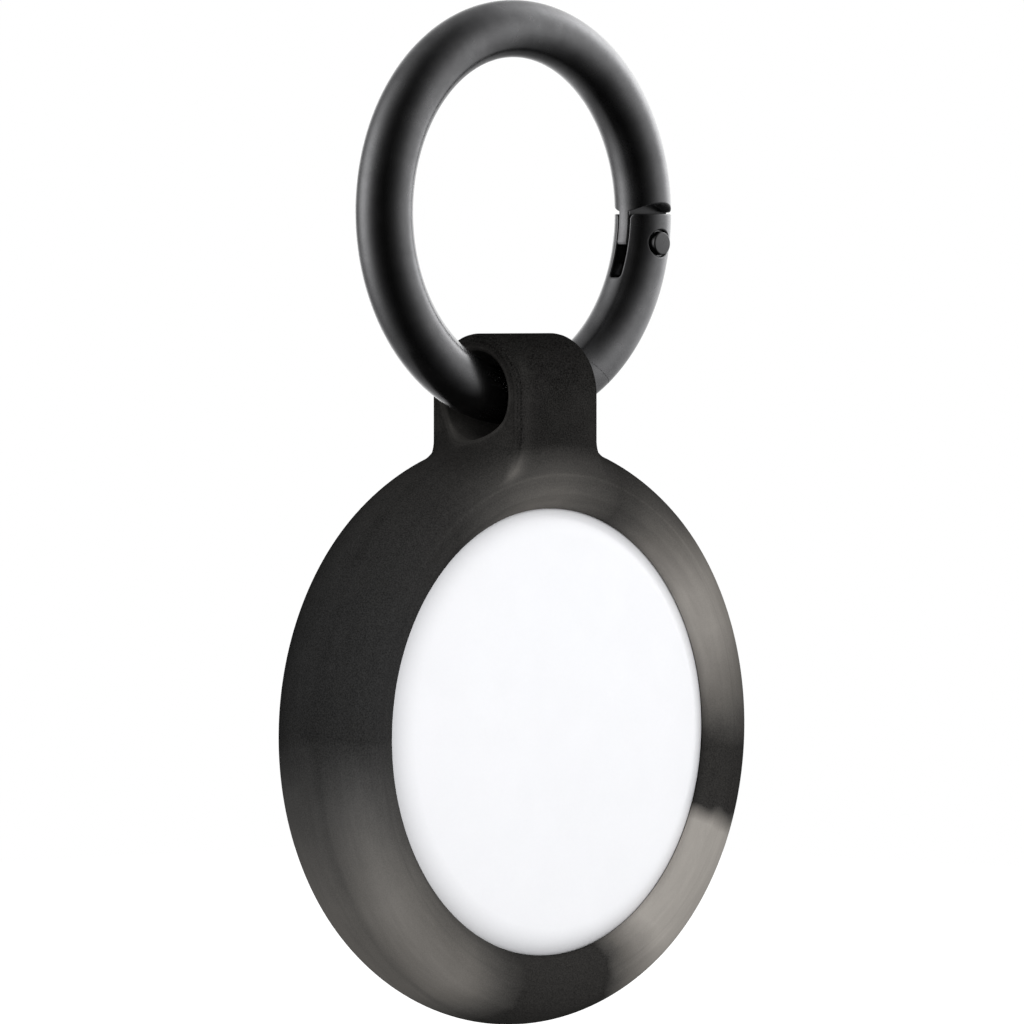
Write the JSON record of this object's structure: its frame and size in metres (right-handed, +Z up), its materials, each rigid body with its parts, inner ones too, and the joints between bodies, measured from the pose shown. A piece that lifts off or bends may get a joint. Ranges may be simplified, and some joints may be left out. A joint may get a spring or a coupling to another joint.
{
  "type": "tracker tag holder",
  "caption": "Round moulded sleeve with a window for a coin-sized tracker tag, hung by its loop on a round spring-gate ring.",
  "frame": {"origin": "the point where the closed ring hangs: the top of its inside, on the ring's mid plane", "axes": "+Z up along the hanging assembly, -Y out of the window, +X towards the ring's hinge"},
  "size_m": [0.037, 0.0082, 0.0644],
  "materials": {
    "holder_shell": "fine matte soft-touch moulding, charcoal with smoky lighter patches",
    "ring_metal": "satin black plated steel",
    "pin_metal": "satin black steel",
    "spring_steel": "drawn spring wire",
    "tag_white": "smooth white moulding",
    "tray_plastic": "moulded plastic",
    "copper": "copper",
    "board_green": "solder mask",
    "tin_steel": "tinned sheet",
    "chip_black": "moulded chip",
    "capacitor_tan": "moulded capacitor",
    "magnet_nickel": "nickel plate",
    "contact_gold": "gold plated spring sheet",
    "cell_steel": "nickel plated can",
    "seal_natural": "sealing ring",
    "cover_steel": "polished steel",
    "foam_black": "closed foam",
    "seal_black": "sealing ring"
  },
  "bodies": {
    "ring": {"ring_body": "ring_metal"},
    "gate": {"ring_gate": "ring_metal", "hinge_pin": "pin_metal", "gate_spring": "spring_steel"},
    "plunger": {"gate_plunger": "pin_metal"},
    "holder": {"holder_body": "holder_shell", "tag_cap": "tag_white", "tag_base": "tag_white", "antenna_frame": "tray_plastic", "antenna_traces": "copper", "circuit_board": "board_green", "radio_shield": "tin_steel", "board_chips": "chip_black", "board_capacitors": "capacitor_tan", "speaker_yoke": "tin_steel", "speaker_magnet": "magnet_nickel", "voice_coil": "copper", "battery_contacts": "contact_gold", "cell_can": "cell_steel", "cell_gasket": "seal_natural", "cell_cap": "cell_steel", "cover_gasket": "seal_black"},
    "cover": {"battery_cover": "cover_steel", "cover_lugs": "tray_plastic", "cover_pad": "foam_black"}
  },
  "joints": [
    {"name": "loop_swing", "type": "hinge", "parent": "ring", "child": "holder", "pos_m": [0, 0, -0.02124], "axis": [1, 0, 0], "range_deg": [-115, 115]},
    {"name": "gate_hinge", "type": "hinge", "parent": "ring", "child": "gate", "pos_m": [0.0114, 0, -0.01167], "axis": [0, 1, 0], "range_deg": [0, 45], "stiffness_Nm_per_rad": 0.02, "springref_deg": -28.65},
    {"name": "plunger_slide", "type": "slide", "parent": "gate", "child": "plunger", "axis": [-0.4226, 0, -0.9063], "range_m": [0, 0.00067], "deforming": ["gate_spring"]},
    {"name": "cover_twist", "type": "hinge", "parent": "holder", "child": "cover", "pos_m": [0, 0, -0.04234], "axis": [0, 1, 0], "range_deg": [0, 20]}
  ],
  "couplings": [
    {"joint": "plunger_slide", "follows": "gate_hinge", "m_per_rad": 0.00085}
  ]
}
